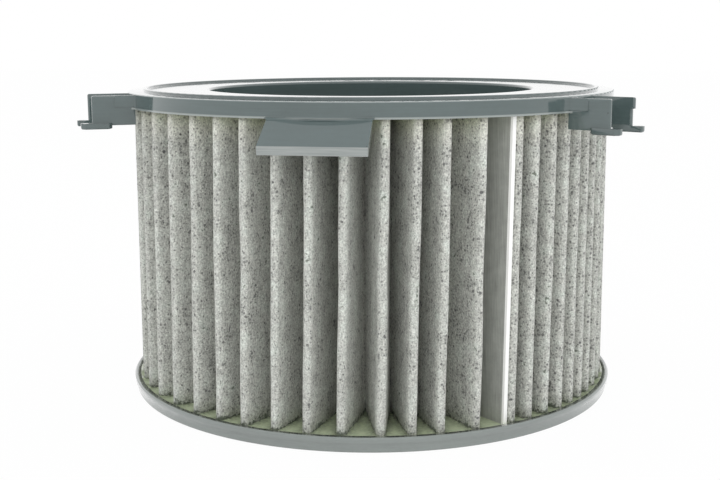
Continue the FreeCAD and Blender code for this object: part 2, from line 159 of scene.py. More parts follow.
class StudioSettings(bpy.types.PropertyGroup):
    """Camera, floor and lights."""

    camera_place: bpy.props.FloatVectorProperty(
        name="Camera", description="Where the camera stands", size=3, subtype="TRANSLATION",
        default=(0.07967, -0.44969, 0.13737), unit="LENGTH",
    )
    camera_tilt: angle("Tilt", "Camera's angle from looking straight down", 79.8)
    camera_turn: angle("Turn", "Camera's angle round the filter", 10.6)
    camera_roll: angle("Roll", "Camera's roll about its own line of sight", -0.235)
    lens: bpy.props.FloatProperty(
        name="Lens", description="Focal length for a 36 mm sensor", default=56.99, min=1,
        unit="CAMERA",
    )
    floor_glow: amount("Floor Glow", "How much of the floor is seen as plain white", 0.97)
    sky: amount("Sky", "Strength of the even light from all round", 0.88, 0, 10)
    key: power("Key", "Power of the large lamp in front", 2.4)
    fill: power("Fill", "Power of the lamp to the right", 1.4)
    sides: power("Sides", "Power of the lamp at each side", 1.6)


# Nodes


NODES_IN_ROW = 24
NODE_WIDTH, NODE_HEIGHT = 180, 220
BLACK, WHITE = (0.0, 0.0, 0.0), (1.0, 1.0, 1.0)


class Value:
    """A node's output on which sums are written as Python expressions."""

    def __init__(self, wiring, socket):
        self.wiring = wiring
        self.socket = socket

    def other(self, name):
        return Value(self.wiring, self.socket.node.outputs[name])

    def __add__(self, number):
        return self.wiring.maths("ADD", self, number)

    def __radd__(self, number):
        return self.wiring.maths("ADD", number, self)

    def __sub__(self, number):
        return self.wiring.maths("SUBTRACT", self, number)

    def __rsub__(self, number):
        return self.wiring.maths("SUBTRACT", number, self)

    def __mul__(self, number):
        return self.wiring.maths("MULTIPLY", self, number)

    def __rmul__(self, number):
        return self.wiring.maths("MULTIPLY", number, self)

    def __truediv__(self, number):
        return self.wiring.maths("DIVIDE", self, number)

    def __rtruediv__(self, number):
        return self.wiring.maths("DIVIDE", number, self)

    def __neg__(self):
        return self.wiring.maths("MULTIPLY", self, -1)

    def __lt__(self, number):
        return self.wiring.maths("LESS_THAN", self, number)

    def __gt__(self, number):
        return self.wiring.maths("GREATER_THAN", self, number)


class Wiring:
    """Adds nodes to one tree."""

    def __init__(self, tree):
        self.tree = tree
        tree.nodes.clear()

    def add(self, kind, settings=None, sockets=None, output=0):
        """A node with its settings made first and its sockets then fed. Gives one output."""
        node = self.tree.nodes.new(kind)
        for name, value in (settings or {}).items():
            setattr(node, name, value)
        for key, value in (sockets or {}).items():
            self.feed(node.inputs[key], value)
        row, place = divmod(len(self.tree.nodes), NODES_IN_ROW)
        node.location = (place * NODE_WIDTH, -row * NODE_HEIGHT)
        return Value(self, node.outputs[output]) if len(node.outputs) else None

    def feed(self, socket, value):
        if isinstance(value, Value):
            self.tree.links.new(value.socket, socket)
        elif hasattr(value, "__len__") and len(value) == 3 and len(socket.default_value) == 4:
            socket.default_value = (*value, 1)
        else:
            socket.default_value = value

    def maths(self, operation, *numbers, clamp=False):
        settings = {"operation": operation, "use_clamp": clamp}
        return self.add("ShaderNodeMath", settings, dict(enumerate(numbers)))

    def sine(self, value):
        return self.maths("SINE", value)

    def cosine(self, value):
        return self.maths("COSINE", value)

    def exponential(self, value):
        return self.maths("POWER", math.e, value)

    def clamped(self, value):
        return self.maths("MULTIPLY", value, 1, clamp=True)

    def rising(self, value, start, span):
        """0 up to the start and 1 a span further on. A negative span rises the other way."""
        return self.clamped((value - start) / span)

    def near(self, value, target, reach, crest=1):
        """The crest at the target, and 1 less for each reach away, kept between 0 and 1."""
        return self.clamped(crest - self.maths("ABSOLUTE", value - target) / reach)

    def varied(self, value, *layers):
        """A value that each layer of noise moves up and down by its own weight."""
        for noise, weight in layers:
            value = value + (noise - 0.5) * weight
        return value

    def blend(self, factor, first, second, kind="MIX"):
        """Two colours mixed by a factor."""
        settings = {"data_type": "RGBA", "blend_type": kind}
        return self.add("ShaderNodeMix", settings, {0: factor, 6: first, 7: second}, output=2)

    def shaded(self, tone, shade):
        """A colour at its full strength where the tone is 1, and black where it is 0."""
        return self.blend(self.clamped(tone), BLACK, tuple(shade))

    def tinted(self, factor, base, tint):
        """A colour multiplied by a tint as far as the factor says."""
        return self.blend(factor, base, tint, kind="MULTIPLY")

    def coordinates(self):
        return self.add("ShaderNodeTexCoord", output="Object")

    def parts(self, vector):
        """A vector's X. Its Y and Z are the node's other outputs."""
        return self.add("ShaderNodeSeparateXYZ", {}, {"Vector": vector})

    def attribute(self, name):
        """A number that the mesh holds at each of its points."""
        return self.add("ShaderNodeAttribute", {"attribute_name": name}, output="Fac")

    def stretched(self, vector, scale):
        return self.add("ShaderNodeMapping", {}, {"Vector": vector, "Scale": scale})

    def noise(self, vector, size, detail=2.0, roughness=0.5):
        """Smooth noise with spots of about the given size."""
        sockets = {"Vector": vector, "Scale": 1 / size, "Detail": detail, "Roughness": roughness}
        return self.add("ShaderNodeTexNoise", {}, sockets)

    def bump(self, height, depth, strength, normal=None):
        sockets = {"Height": height, "Distance": depth, "Strength": strength}
        if normal is not None:
            sockets["Normal"] = normal
        return self.add("ShaderNodeBump", {}, sockets)


def new_material(name):
    material = bpy.data.materials.new(name)
    material.use_nodes = True
    return material, Wiring(material.node_tree)


def finish_material(wiring, sockets):
    shader = wiring.add("ShaderNodeBsdfPrincipled", {}, sockets)
    wiring.add("ShaderNodeOutputMaterial", {}, {"Surface": shader})


# The smallest specks' share of the largest, how much a speck grows at most, and its soft edge.
SMALLEST_SPECK, MOST_GROWTH, SPECK_EDGE = 0.35, 1.35, 0.16 * MM


def specks(wiring, place, cell, radius, load):
    """Round specks, at most one in each cell of the given size, that grow with the load."""
    distance = wiring.add("ShaderNodeTexVoronoi", {}, {"Vector": place, "Scale": 1 / cell})
    chance = wiring.add("ShaderNodeSeparateColor", {}, {"Color": distance.other("Color")})
    growth = wiring.maths("MINIMUM", 1 + load, MOST_GROWTH)
    reach = radius * (SMALLEST_SPECK + chance * (1 - SMALLEST_SPECK)) * growth
    return wiring.clamped((reach - distance * cell) / SPECK_EDGE)


COOL_TINT = (0.93, 1.0, 0.985)
WARM_TINT = (1.0, 0.98, 0.92)
SOAKED_FELT = linear(72, 82, 66)


def felt_material(colours):
    """The upstream face: mottled fibres with specks and clusters of carbon, soaked at their feet.

    The sheet's own attributes say how far out a point is between the bottom of a groove and a
    pleat's tip, and whether it is on the fold over the tip. The tone uses them for painted light:
    paler in the grooves, with a painted highlight over the tips. It also has painted light under
    the frame.
    """
    material, wiring = new_material("speckled_felt")
    place = wiring.coordinates()
    reach, crown = wiring.attribute("reach"), wiring.attribute("crown")
    aside = wiring.parts(place)
    height = aside.other("Z")
    mottle = wiring.noise(place, size=0.62 * MM, detail=3, roughness=0.6)
    upright = wiring.stretched(place, (1, 1, 0.35))
    fibres = wiring.noise(upright, size=0.5 * MM, detail=3, roughness=0.6)
    clouds = wiring.noise(place, size=6 * MM, detail=4, roughness=0.6)
    streaks = wiring.noise(wiring.stretched(place, (1, 1, 0.08)), size=1.8 * MM, detail=3)
    gravel = wiring.noise(place, size=1.35 * MM, detail=2)
    # A warm tint near the frame, which also carries painted light against the frame's shadow.
    warmth_and_painted_light = wiring.rising(height, start=100 * MM, span=12 * MM)
    # Painted light: the felt is paler deep in the grooves where shade falls, has a painted
    # highlight on the folds over the tips, and is paler under the frame's shadow.
    tone = 0.66 - reach * 0.18 + crown * 0.1 + warmth_and_painted_light * 0.22
    tone = wiring.varied(tone, (mottle, 1.15), (fibres, 0.65), (clouds, 0.5), (streaks, 0.24))
    base = wiring.shaded(tone, colours.felt)
    right = wiring.rising(aside, start=20 * MM, span=60 * MM)
    load = (0.5 - clouds) * 3.6 + right * 0.3
    grit = specks(wiring, place, cell=1.25 * MM, radius=0.46 * MM, load=load)
    lumps = specks(wiring, place, cell=2.3 * MM, radius=0.48 * MM, load=load)
    base = wiring.blend(grit * 0.55, base, tuple(colours.carbon))
    base = wiring.blend(lumps * 0.7, base, tuple(colours.carbon))
    cool = wiring.rising(clouds, start=0.48, span=0.25) * 0.6
    base = wiring.tinted(cool, base, COOL_TINT)
    base = wiring.tinted(warmth_and_painted_light, base, WARM_TINT)
    foot = wiring.rising(height, start=7.2 * MM, span=-2 * MM)
    soaked = wiring.varied(foot * 0.75, (gravel, 2.6), (clouds, 2)) - 0.5
    base = wiring.blend(wiring.clamped(soaked * 3) * 0.8, base, SOAKED_FELT)
    relief = fibres + mottle * 0.6 - grit * 0.2
    finish_material(
        wiring,
        {
            "Base Color": base,
            "Roughness": 0.95,
            "Sheen Weight": 0.1,
            "Sheen Roughness": 0.6,
            "Specular IOR Level": 0.2,
            "Normal": wiring.bump(relief, depth=0.3 * MM, strength=0.7),
        },
    )
    return material


ROLLER_LINE = 0.75 * MM


def felt_back_material(colours):
    """The downstream face: smooth felt with fine upright lines from the folding rollers."""
    material, wiring = new_material("lined_felt")
    place = wiring.coordinates()
    lines = wiring.sine(wiring.attribute("along") * (math.tau / ROLLER_LINE))
    streaks = wiring.noise(wiring.stretched(place, (1, 1, 0.03)), size=0.5 * MM, detail=3)
    clouds = wiring.noise(place, size=4 * MM, detail=4, roughness=0.6)
    tone = wiring.varied(0.84 + lines * 0.06, (streaks, 0.5), (clouds, 0.45))
    finish_material(
        wiring,
        {
            "Base Color": wiring.shaded(tone, colours.felt_back),
            "Roughness": 0.9,
            "Sheen Weight": 0.1,
            "Specular IOR Level": 0.25,
            "Normal": wiring.bump(lines * 0.4 + streaks, depth=0.15 * MM, strength=0.5),
        },
    )
    return material


# Small dark marks on the frame: where each one is, and its radius.
MARKS = (
    ((0.0174, -0.1048, 0.1036), 0.35 * MM),
    ((0.0909, -0.0600, 0.1114), 0.32 * MM),
)
# Painted shade for the tab's face, and painted highlights for its cut end, the wall's lower edge
# and the ledge's rim.
TAB_PAINTED_SHADE = (0.76, 0.87, 0.88)
CUT_END_HIGHLIGHT = linear(154, 158, 155)
LOWER_EDGE_HIGHLIGHT = linear(170, 176, 172)
RIM_HIGHLIGHT = linear(178, 186, 184)
MARK_COLOUR = linear(40, 44, 46)
MARK_EDGE = 0.15 * MM


def frame_details(tab_end, where):
    """The finishes that only the frame has, as a function that paints them on its base colour.

    They are painted shade on the tab's face with a painted highlight on its cut end,
    painted highlights along the lower edge of the wall and along the rim of the ledge,
    and the small marks. tab_end is how far the tab reaches, and the other places come
    from frame_places.
    """

    def paint(wiring, place, grain, lines, base):
        across = wiring.parts(place)
        ahead, height = across.other("Y"), across.other("Z")
        radius = wiring.maths("SQRT", across * across + ahead * ahead)
        by_tab = (ahead < 0) * (wiring.maths("ABSOLUTE", across) < where.tab_half)
        # Painted shade on the tab's face: darker, with a little teal.
        on_tab = wiring.rising(radius, start=where.edge_radius, span=0.3 * MM) * by_tab
        base = wiring.tinted(on_tab, base, TAB_PAINTED_SHADE)
        # Painted highlight on the tab's cut end, broken by fine lines.
        cut = wiring.rising(ahead, start=0.42 * MM - tab_end, span=-0.12 * MM)
        base = wiring.blend(cut * wiring.varied(0.8, (lines, 0.7)), base, CUT_END_HIGHLIGHT)
        # Painted highlight along the wall's lower edge, mostly left off the tab.
        edge = wiring.near(height, where.edge_height, reach=0.55 * MM)
        edge = edge * wiring.near(radius, where.edge_radius, reach=0.9 * MM)
        edge = edge * (1 - by_tab * 0.8)
        base = wiring.blend(wiring.clamped(edge * 2.2) * 0.6, base, LOWER_EDGE_HIGHLIGHT)
        # Painted highlight along the ledge's rim.
        rim = wiring.near(height, where.rim_height, reach=0.45 * MM)
        rim = rim * wiring.near(radius, where.rim_radius, reach=0.5 * MM, crest=1.3)
        base = wiring.blend(wiring.clamped(rim * 2) * 0.6, base, RIM_HIGHLIGHT)
        for middle, size in MARKS:
            settings, sockets = {"operation": "DISTANCE"}, {0: place, 1: middle}
            distance = wiring.add("ShaderNodeVectorMath", settings, sockets, output="Value")
            mark = wiring.clamped((size * (0.6 + grain * 0.8) - distance) / MARK_EDGE)
            base = wiring.blend(mark * 0.7, base, MARK_COLOUR)
        return base

    return paint


def moulded_plastic(name, shade, roughness, details=None):
    """Glossy moulded plastic with flow lines and a little dust, and with details of its own."""
    material, wiring = new_material(name)
    place = wiring.coordinates()
    flow = wiring.noise(wiring.stretched(place, (0.25, 0.25, 1)), size=9 * MM, detail=3)
    lines = wiring.noise(wiring.stretched(place, (0.05, 0.05, 1)), size=0.6 * MM, detail=2)
    grain = wiring.noise(place, size=0.5 * MM, detail=3)
    dust = wiring.noise(place, size=3 * MM, detail=4, roughness=0.65)
    tone = wiring.varied(0.9, (flow, 0.25), (dust, 0.12), (lines, 0.16))
    base = wiring.shaded(tone, shade)
    if details is not None:
        base = details(wiring, place, grain, lines, base)
    gloss = wiring.varied(roughness, (dust, 0.06), (grain, 0.02))
    normal = wiring.bump(grain, depth=0.006 * MM, strength=0.3)
    finish_material(
        wiring,
        {
            "Base Color": base,
            "Roughness": wiring.clamped(gloss),
            "IOR": 1.5,
            "Coat Weight": 1.0,
            "Coat Roughness": 0.05,
            "Coat IOR": 1.5,
            "Normal": wiring.bump(flow, depth=0.1 * MM, strength=0.2, normal=normal),
        },
    )
    return material


# Colour of the soiling and painted shade on the potting next to the pleats.
SOILED_AND_SHADED_POTTING = linear(70, 76, 62)


def potting_material(colours):
    """Glossy cast polyurethane, greyed where the pleats stand in it by soiling and painted shade.
    """
    material, wiring = new_material("cast_potting")
    place = wiring.coordinates()
    clouds = wiring.noise(place, size=4 * MM, detail=4, roughness=0.6)
    smudge = wiring.noise(place, size=1.2 * MM, detail=3)
    base = wiring.shaded(wiring.varied(0.9, (clouds, 0.3)), colours.potting)
    # Soiling and painted shade where the pleats stand in the casting, mottled.
    soiling_and_painted_shade = wiring.clamped(wiring.attribute("stain") * (smudge * 3.2 - 0.7))
    base = wiring.blend(soiling_and_painted_shade * 0.8, base, SOILED_AND_SHADED_POTTING)
    gloss = wiring.varied(0.12, (clouds, 0.15)) + soiling_and_painted_shade * 0.3
    finish_material(
        wiring,
        {
            "Base Color": base,
            "Roughness": wiring.clamped(gloss),
            "IOR": 1.5,
            "Coat Weight": 0.6,
            "Coat Roughness": 0.06,
            "Normal": wiring.bump(clouds, depth=0.5 * MM, strength=0.4),
        },
    )
    return material


def strip_material(colours):
    """Plain white plastic."""
    material, wiring = new_material("white_strip")
    place = wiring.coordinates()
    clouds = wiring.noise(wiring.stretched(place, (1, 1, 0.2)), size=2 * MM, detail=3)
    finish_material(
        wiring,
        {
            "Base Color": wiring.shaded(wiring.varied(1.0, (clouds, 0.06)), colours.strip),
            "Roughness": 0.4,
            "Coat Weight": 0.5,
            "Normal": wiring.bump(clouds, depth=0.05 * MM, strength=0.4),
        },
    )
    return material


# Shapes


def tree_inputs(settings):
    """The settings that the pleat tree takes, by name. The seam flap's own sizes aren't in it."""
    about = settings.bl_rna.properties
    return {
        about[key].name: getattr(settings, key)
        for key in settings.__annotations__
        if not key.startswith("flap_")
    }


def pleat_angle(number, size, sine, cosine, exponential):
    """The angle at which a pleat stands, for numbers that count from the seam.

    The pleats are evenly spaced, and stand tighter just after the seam. Two waves, and a flutter
    before the seam, make them uneven. The same sums serve plain numbers and a tree's values: size
    gives an input by its name, and the last three are functions for either kind.
    """
    steps = size("Pleats") - 1
    share = number / steps
    place = size("First Pleat") + (math.tau - size("Seam Groove")) * share
    place = place - size("Spacing Swing") * steps / math.pi * sine(share * math.pi)
    for wave in ("Slow", "Quick"):
        phase = size(f"{wave} Start") + number / size(f"{wave} Wave") * math.tau
        place = place + size(f"{wave} Waver") * sine(phase)
    left = steps - number
    phase = size("Flutter Start") + left / size("Flutter Wave") * math.tau
    fade = exponential(-(left / size("Flutter Reach")))
    return place + size("Flutter") * fade * cosine(phase)


# Columns of the grid on each flank, on each fold and in a whole pleat.
FLANK_STEPS = 7
FOLD_STEPS = 6
PLEAT_STEPS = 2 * FLANK_STEPS + 2 * FOLD_STEPS
# The rollers' lines count one pleat as this much sheet.
LINED_LENGTH = 62 * MM
# How far apart two tips lie in the noise, how far one tip reaches in it, and at which level.
TIP_STRIDE, TIP_REACH, NOISE_LEVEL = 1.7, 2.3, 4.0
# Noise mostly stays within a quarter of its middle, so this makes it swing by 1 either way.
NOISE_GAIN = 4
FEWEST_FACES = 1000


def stand(wiring, size, which):
    """The angle of a pleat in the tree, where numbers run on past the seam."""
    pleats = size("Pleats")
    around = wiring.maths("FLOOR", (which + 0.5) / pleats)
    within = which - around * pleats
    place = pleat_angle(within, size, wiring.sine, wiring.cosine, wiring.exponential)
    return place + around * math.tau


def tip_place(wiring, size, which, even, rise):
    """A tip's angle: its even place, with the sheet's twist and the tip's own ripple."""
    sockets = {"X": which * TIP_STRIDE, "Y": rise * TIP_REACH, "Z": NOISE_LEVEL}
    seed = wiring.add("ShaderNodeCombineXYZ", {}, sockets)
    sockets = {"Vector": seed, "Scale": 1.0, "Detail": 2.0}
    wander = wiring.add("ShaderNodeTexNoise", {}, sockets)
    ripple = (wander - 0.5) * NOISE_GAIN * size("Ripple") * wiring.sine(rise * math.pi)
    return even + ripple + size("Twist") * (rise - 0.5)


def flank_facing(wiring, size, tip_reach, tip, groove, side):
    """The direction in which a flank faces, as an angle round the filter."""
    offset = groove - tip
    out = tip_reach - size("Groove Radius") * wiring.cosine(offset)
    aside = size("Groove Radius") * wiring.sine(offset)
    span = wiring.maths("SQRT", out * out + aside * aside)
    turn = wiring.maths("ARCTAN2", -aside, out)
    lean = wiring.maths("ARCSINE", size("Media Thickness") / span)
    return tip + turn + (math.pi / 2 + lean) * side


def placed(wiring, reach, place):
    """Where a reach and an angle lead to, across and ahead."""
    return reach * wiring.sine(place), -(reach * wiring.cosine(place))


def pleat_section(wiring, size, number, step, rise):
    """Where a column of a pleat stands, across and ahead, and its shares of the way up and down.

    The column goes up the first flank, over the tip, down the second flank and under the groove.
    """
    here, previous = stand(wiring, size, number), stand(wiring, size, number - 1)
    following = stand(wiring, size, number + 1)
    before, after = (previous + here) / 2, (here + following) / 2
    foot, head = size("Tip Radius at the Tray"), size("Tip Radius at the Frame")
    tip_reach = foot + (head - foot) * rise - size("Media Thickness")
    tip = tip_place(wiring, size, number, here, rise)
    next_tip = tip_place(wiring, size, number + 1, following, rise)
    facing_before = flank_facing(wiring, size, tip_reach, tip, before, -1)
    facing_after = flank_facing(wiring, size, tip_reach, tip, after, 1)
    next_facing = flank_facing(wiring, size, tip_reach, next_tip, after, -1)

    second, third = FLANK_STEPS + FOLD_STEPS, 2 * FLANK_STEPS + FOLD_STEPS
    up = wiring.clamped(step / FLANK_STEPS)
    over = wiring.clamped((step - FLANK_STEPS) / FOLD_STEPS)
    down = wiring.clamped((step - second) / FLANK_STEPS)
    under = wiring.clamped((step - third) / FOLD_STEPS)
    on_second, on_third, on_fourth = (
        step > start - 0.5 for start in (FLANK_STEPS, second, third)
    )

    half, groove_reach = size("Media Thickness") / 2, size("Groove Radius")
    tip_centre = placed(wiring, tip_reach, tip)
    groove_before = placed(wiring, groove_reach, before)
    groove_after = placed(wiring, groove_reach, after)
    side_before, side_after = (
        placed(wiring, half, facing) for facing in (facing_before, facing_after)
    )
    fold_over = placed(wiring, half, facing_before + (facing_after - facing_before) * over)
    fold_under = placed(wiring, half, facing_after + (next_facing - facing_after) * under)
    places = []
    for axis in (0, 1):
        low, high = groove_before[axis] - side_before[axis], tip_centre[axis] + side_before[axis]
        rising = low + (high - low) * up
        crown = tip_centre[axis] + fold_over[axis]
        high, low = tip_centre[axis] + side_after[axis], groove_after[axis] - side_after[axis]
        falling = high + (low - high) * down
        hollow = groove_after[axis] - fold_under[axis]
        place = rising + (crown - rising) * on_second
        place = place + (falling - place) * on_third
        places.append(place + (hollow - place) * on_fourth)
    return places, up, down


def pleat_tree(inputs):
    """Geometry nodes that fold a grid into the pleated sheet, along the middle of its thickness."""
    tree = bpy.data.node_groups.new("pleated_sheet", "GeometryNodeTree")
    tree.is_modifier = True
    for name, value in inputs.items():
        kind = "NodeSocketInt" if isinstance(value, int) else "NodeSocketFloat"
        tree.interface.new_socket(name, in_out="INPUT", socket_type=kind)
    tree.interface.new_socket("Material", in_out="INPUT", socket_type="NodeSocketMaterial")
    tree.interface.new_socket("Geometry", in_out="OUTPUT", socket_type="NodeSocketGeometry")
    wiring = Wiring(tree)
    size = wiring.add("NodeGroupInput").other
    rows, columns = size("Rows"), size("Pleats") * PLEAT_STEPS + 1
    sockets = {"Vertices X": columns, "Vertices Y": rows, "Size X": 1.0, "Size Y": 1.0}
    grid = wiring.add("GeometryNodeMeshGrid", {}, sockets)
    index = wiring.add("GeometryNodeInputIndex")
    column = wiring.maths("FLOOR", (index + 0.5) / rows)
    rise = (index - column * rows) / (rows - 1)
    number = wiring.maths("FLOOR", (column + 0.5) / PLEAT_STEPS)
    step = column - number * PLEAT_STEPS
    (across, ahead), up, down = pleat_section(wiring, size, number, step, rise)
    height = size("Lower End") + (size("Upper End") - size("Lower End")) * rise
    sockets = {"X": across, "Y": ahead, "Z": height}
    position = wiring.add("ShaderNodeCombineXYZ", {}, sockets)
    folded = wiring.add("GeometryNodeSetPosition", {}, {"Geometry": grid, "Position": position})
    over_from, over_to = FLANK_STEPS - 1, FLANK_STEPS + FOLD_STEPS + 1
    marks = {
        "reach": up * (1 - down),
        "crown": wiring.clamped(step - over_from) * wiring.clamped(over_to - step),
        "along": column * (LINED_LENGTH / PLEAT_STEPS),
    }
    for name, value in marks.items():
        sockets = {"Geometry": folded, "Name": name, "Value": value}
        folded = wiring.add("GeometryNodeStoreNamedAttribute", {"data_type": "FLOAT"}, sockets)
    smooth = wiring.add("GeometryNodeSetShadeSmooth", {}, {"Geometry": folded})
    real = wiring.add("GeometryNodeRealizeInstances", {}, {"Geometry": smooth})
    sockets = {"Geometry": real, "Material": size("Material")}
    painted = wiring.add("GeometryNodeSetMaterial", {}, sockets)
    wiring.add("NodeGroupOutput", {}, {"Geometry": painted})
    return tree


def new_piece(name, mesh, *materials):
    """An object at the origin, with its materials in order."""
    piece = bpy.data.objects.new(name, mesh)
    bpy.context.scene.collection.objects.link(piece)
    for material in materials:
        mesh.materials.append(material)
    return piece


def apply_modifiers(piece):
    """Gives the piece the plain mesh that its modifiers make of it."""
    graph = bpy.context.evaluated_depsgraph_get()
    mesh = bpy.data.meshes.new_from_object(piece.evaluated_get(graph))
    piece.modifiers.clear()
    piece.data = mesh


def folded_sheet(settings, material):
    """The sheet made by the pleat tree, as a plain mesh."""
    sheet = new_piece("pleated_sheet", bpy.data.meshes.new("pleated_sheet"))
    inputs = tree_inputs(settings)
    tree = pleat_tree(inputs)
    modifier = sheet.modifiers.new("pleats", "NODES")
    modifier.node_group = tree
    identifiers = {
        item.name: item.identifier
        for item in tree.interface.items_tree
        if item.item_type == "SOCKET" and item.in_out == "INPUT"
    }
    for name, value in inputs.items():
        modifier[identifiers[name]] = value
    modifier[identifiers["Material"]] = material
    sheet.update_tag()
    apply_modifiers(sheet)
    if len(sheet.data.polygons) < FEWEST_FACES:
        raise RuntimeError("the pleat tree gave no sheet")
    return sheet


def polar(radius, place):
    """A point in the plan at an angle round the filter."""
    return np.array([radius * math.sin(place), -radius * math.cos(place)])


def unit(vector):
    return vector / np.linalg.norm(vector)


def right_of(direction):
    """A direction in the plan, turned a quarter to its right."""
    return np.array([direction[1], -direction[0]])


def points_of(mesh):
    """The places of a mesh's points, one row for each."""
    return np.array([vertex.co[:] for vertex in mesh.vertices])


def middle_tip_radius(settings):
    """The radius of the pleats' tips at half the media's height."""
    return (settings.foot_radius + settings.head_radius) / 2


# How far the flap's root lies inside the middle of its groove's fold, and its heel outside it.
FLAP_ROOT, FLAP_HEEL = 0.5 * MM, 2 * MM


def seam_outline(settings):
    """Corners of the two pressed ends that stand in the groove before the first pleat.

    They stand beside the flank of the first pleat and reach a little past it.
    """
    size = tree_inputs(settings).get
    first, last = (
        pleat_angle(number, size, math.sin, math.cos, math.exp)
        for number in (0, settings.pleats - 1)
    )
    groove = polar(settings.groove_radius, (first + last - math.tau) / 2)
    tip_centre = polar(middle_tip_radius(settings) - settings.thickness, first)
    lean = settings.thickness / np.linalg.norm(tip_centre - groove)
    along = unit(tip_centre - groove)
    facing = right_of(along) * math.sqrt(1 - lean * lean) - along * lean
    tip = tip_centre + facing * settings.thickness
    reach = np.linalg.norm(tip - groove) + settings.flap_extra
    near = groove + unit(tip - groove) * reach + facing * settings.flap_gap
    along = unit(near - groove)
    aside = right_of(along) * settings.flap_thickness
    return groove - along * FLAP_ROOT, near, near + aside, groove + along * FLAP_HEEL + aside


def twist(mesh, settings):
    """Turns an upright mesh in the seam groove as the pleats beside it are twisted."""
    places = points_of(mesh)
    rise = (places[:, 2] - settings.bottom) / (settings.top - settings.bottom)
    depth = middle_tip_radius(settings) - settings.groove_radius
    reach = (np.linalg.norm(places[:, :2], axis=1) - settings.groove_radius) / depth
    turn = settings.twist * (rise - 0.5) * np.clip(reach, 0, 1)
    across, ahead = places[:, 0].copy(), places[:, 1].copy()
    places[:, 0] = across * np.cos(turn) - ahead * np.sin(turn)
    places[:, 1] = across * np.sin(turn) + ahead * np.cos(turn)
    mesh.vertices.foreach_set("co", places.ravel())
    mesh.update()


def outward_mesh(name, shape):
    """A mesh of the shape, with every face turned outwards."""
    bmesh.ops.recalc_face_normals(shape, faces=shape.faces)
    mesh = bpy.data.meshes.new(name)
    shape.to_mesh(mesh)
    shape.free()
    return mesh


FLAP_ROWS = 8


def slab(name, corners, bottom, top):
    """An upright slab on the given plan. Its points hold how far they are from the first corner."""
    shape = bmesh.new()
    levels = []
    for row in range(FLAP_ROWS + 1):
        height = bottom + (top - bottom) * row / FLAP_ROWS
        levels.append([shape.verts.new((*corner, height)) for corner in corners])
    size = len(corners)
    for low, high in zip(levels, levels[1:]):
        for i in range(size):
            j = (i + 1) % size
            shape.faces.new((low[i], low[j], high[j], high[i]))
    shape.faces.new(levels[-1])
    shape.faces.new(list(reversed(levels[0])))
    mesh = outward_mesh(name, shape)
    along = np.linalg.norm(points_of(mesh)[:, :2] - corners[0], axis=1)
    mesh.attributes.new("along", "FLOAT", "POINT").data.foreach_set("value", along)
    return mesh


MERGE_DISTANCE = 1e-6
SHORTEST_EDGE = 1e-7
MOULDED_EDGE = math.radians(30)


def merged_copy(node, name):
    """A copy of a frame node with its triangles joined, smooth up to a moulded edge's angle."""
    mesh = frame["nodes"][node].data.copy()
    mesh.name = name
    shape = bmesh.new()
    shape.from_mesh(mesh)
    bmesh.ops.remove_doubles(shape, verts=shape.verts, dist=MERGE_DISTANCE)
    bmesh.ops.dissolve_degenerate(shape, edges=shape.edges, dist=SHORTEST_EDGE)
    shape.to_mesh(mesh)
    shape.free()
    mesh.materials.clear()
    mesh.shade_smooth()
    mesh.set_sharp_from_angle(angle=MOULDED_EDGE)
    return mesh


POINTS_AT_ONCE = 2000
SMALLEST_SQUARE = 1e-14


def distance_to_path(points, path):
    """Each point's distance to a path of straight runs, in the plan."""
    starts, ends = path[:-1], path[1:]
    runs = ends - starts
    squares = np.maximum((runs**2).sum(1), SMALLEST_SQUARE)
    nearest = np.empty(len(points))
    for first in range(0, len(points), POINTS_AT_ONCE):
        some = slice(first, first + POINTS_AT_ONCE)
        part = points[some, None, :] - starts[None]
        share = np.clip((part * runs[None]).sum(2) / squares[None], 0, 1)
        gap = part - share[..., None] * runs[None]
        nearest[some] = np.sqrt((gap**2).sum(2)).min(1)
    return nearest


# The casting's surface has 18 points round the ring for each of the 57 pleats.
RING_TURNS = 57 * 18
RING_STEPS = 22
# How far it climbs at the pleats and at the walls, and the distance over which that fades.
PLEAT_CLIMB, PLEAT_CLIMB_REACH = 0.45 * MM, 0.7 * MM
WALL_CLIMB, WALL_CLIMB_REACH = 0.5 * MM, 0.8 * MM
SAG, SAG_WAVES, SAG_START = 0.12 * MM, 5, 1.2
# Reach of the pleats' nearness, which the potting's soiling and painted shade use.
PLEAT_NEARNESS_REACH = 1.6 * MM
CAST_EDGE = math.radians(50)


